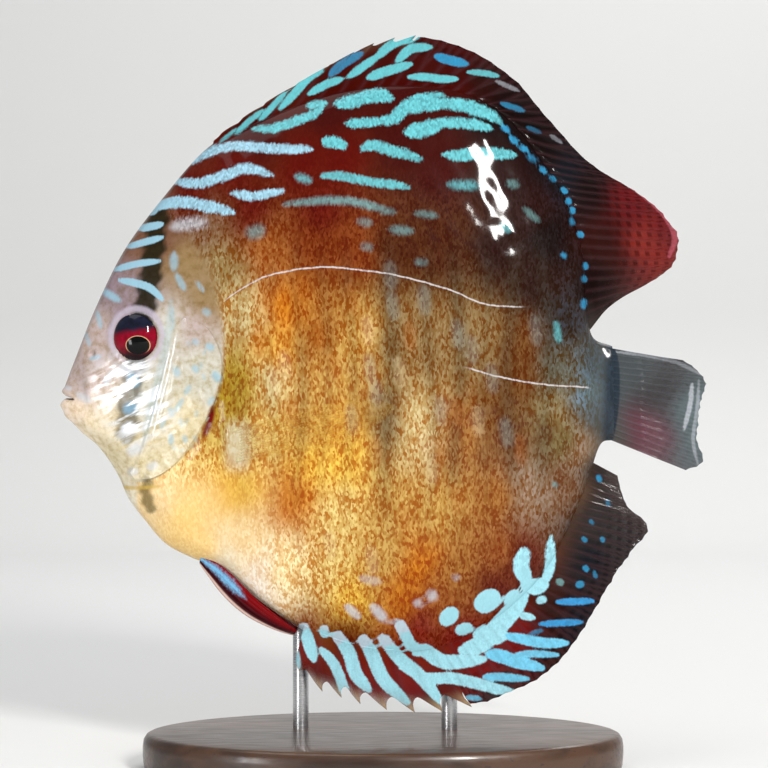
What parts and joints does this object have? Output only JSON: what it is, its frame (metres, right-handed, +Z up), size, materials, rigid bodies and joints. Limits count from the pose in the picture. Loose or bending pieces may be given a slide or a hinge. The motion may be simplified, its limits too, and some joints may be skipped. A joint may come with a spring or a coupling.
{
  "type": "discus fish model on a display stand",
  "caption": "Life-size still model of a tall, flat, round-bodied discus fish with long dorsal and anal fins, held upright by two short rods over an oval base.",
  "frame": {"origin": "centre of the bounding box at the underside of the stand's base", "axes": "+Z up along the fish's height, +X from snout to tail, +Y from the fish's left flank to its right flank"},
  "size_m": [0.14, 0.058, 0.1586],
  "materials": {
    "face_skin": "wet grey-cream face skin with pale blue marks",
    "flank_skin": "wet scaly flank, ochre and orange below, dark red with turquoise stripes above",
    "stem_skin": "wet grey-blue skin",
    "cover_skin": "wet smooth bone skin, cream with a blue sheen",
    "eye": "clear glossy eye, dark red iris, black pupil",
    "fin_red": "wet maroon fin membrane with turquoise streaks",
    "fin_clear": "wet translucent grey fin membrane",
    "stand_wood": "dark satin-varnished wood",
    "stand_steel": "brushed round bar"
  },
  "bodies": {
    "root": {"head": "face_skin", "trunk": "flank_skin", "tail_stem": "stem_skin", "gill_cover_left": "cover_skin", "gill_cover_right": "cover_skin", "eye_left": "eye", "eye_right": "eye", "dorsal_fin": "fin_red", "anal_fin": "fin_red", "pelvic_fin_left": "fin_red", "pelvic_fin_right": "fin_red", "caudal_fin": "fin_clear", "pectoral_fin_left": "fin_clear", "pectoral_fin_right": "fin_clear", "stand_base": "stand_wood", "stand_rod_front": "stand_steel", "stand_rod_rear": "stand_steel"}
  },
  "joints": []
}
